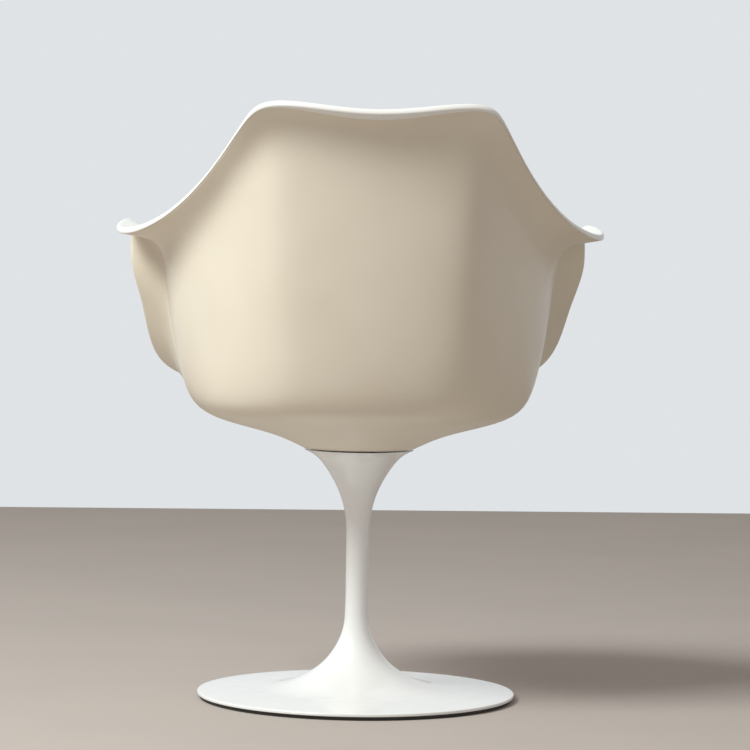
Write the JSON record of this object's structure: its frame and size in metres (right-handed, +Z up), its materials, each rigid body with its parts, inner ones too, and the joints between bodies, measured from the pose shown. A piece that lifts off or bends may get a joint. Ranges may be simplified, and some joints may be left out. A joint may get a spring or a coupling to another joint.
{
  "type": "pedestal swivel armchair",
  "caption": "One-piece moulded bucket armchair with flared arms and a loose seat cushion, turning freely on a trumpet-shaped pedestal with a round foot.",
  "frame": {"origin": "on the floor, on the swivel axis", "axes": "+Z up along the swivel axis, the sitter faces -Y and the back is at +Y, mirror-symmetric in X"},
  "size_m": [0.6793, 0.5795, 0.8174],
  "materials": {
    "pedestal_white": "gloss coating on a cast pedestal",
    "glide_dark": "matt",
    "bush_plastic": "natural acetal",
    "bearing_steel": "ground",
    "steel": "zinc plated",
    "hub_casting": "as cast",
    "shell_cream": "satin gloss moulded shell, cream outside and white inside",
    "pad_black": "hook and loop",
    "foam": "open-cell foam, covered",
    "cushion_fabric": "woven wool cloth"
  },
  "bodies": {
    "pedestal": {"pedestal_casting": "pedestal_white", "glide_ring": "glide_dark", "upper_bush": "bush_plastic", "lower_bush": "bush_plastic", "lower_race": "bearing_steel"},
    "bearing": {"roller_cage": "bush_plastic", "needle_rollers": "bearing_steel"},
    "seat": {"upper_race": "bearing_steel", "seat_hub": "hub_casting", "swivel_spindle": "bearing_steel", "spindle_pin": "steel", "retaining_washer": "steel", "retaining_screw": "steel", "seat_shell": "shell_cream", "stiffening_plate": "steel", "shell_screws": "steel", "hook_pads": "pad_black", "loop_pads": "pad_black", "cushion_foam": "foam", "cushion_top_cover": "cushion_fabric", "cushion_bottom_cover": "cushion_fabric", "cushion_welt": "cushion_fabric"}
  },
  "joints": [
    {"name": "seat_swivel", "type": "hinge", "parent": "pedestal", "child": "seat", "pos_m": [0, 0, 0.347], "axis": [0, 0, 1], "continuous": true},
    {"name": "cage_swivel", "type": "hinge", "parent": "pedestal", "child": "bearing", "pos_m": [0, 0, 0.319], "axis": [0, 0, 1], "continuous": true}
  ],
  "couplings": [
    {"joint": "cage_swivel", "follows": "seat_swivel", "ratio": 0.5}
  ]
}
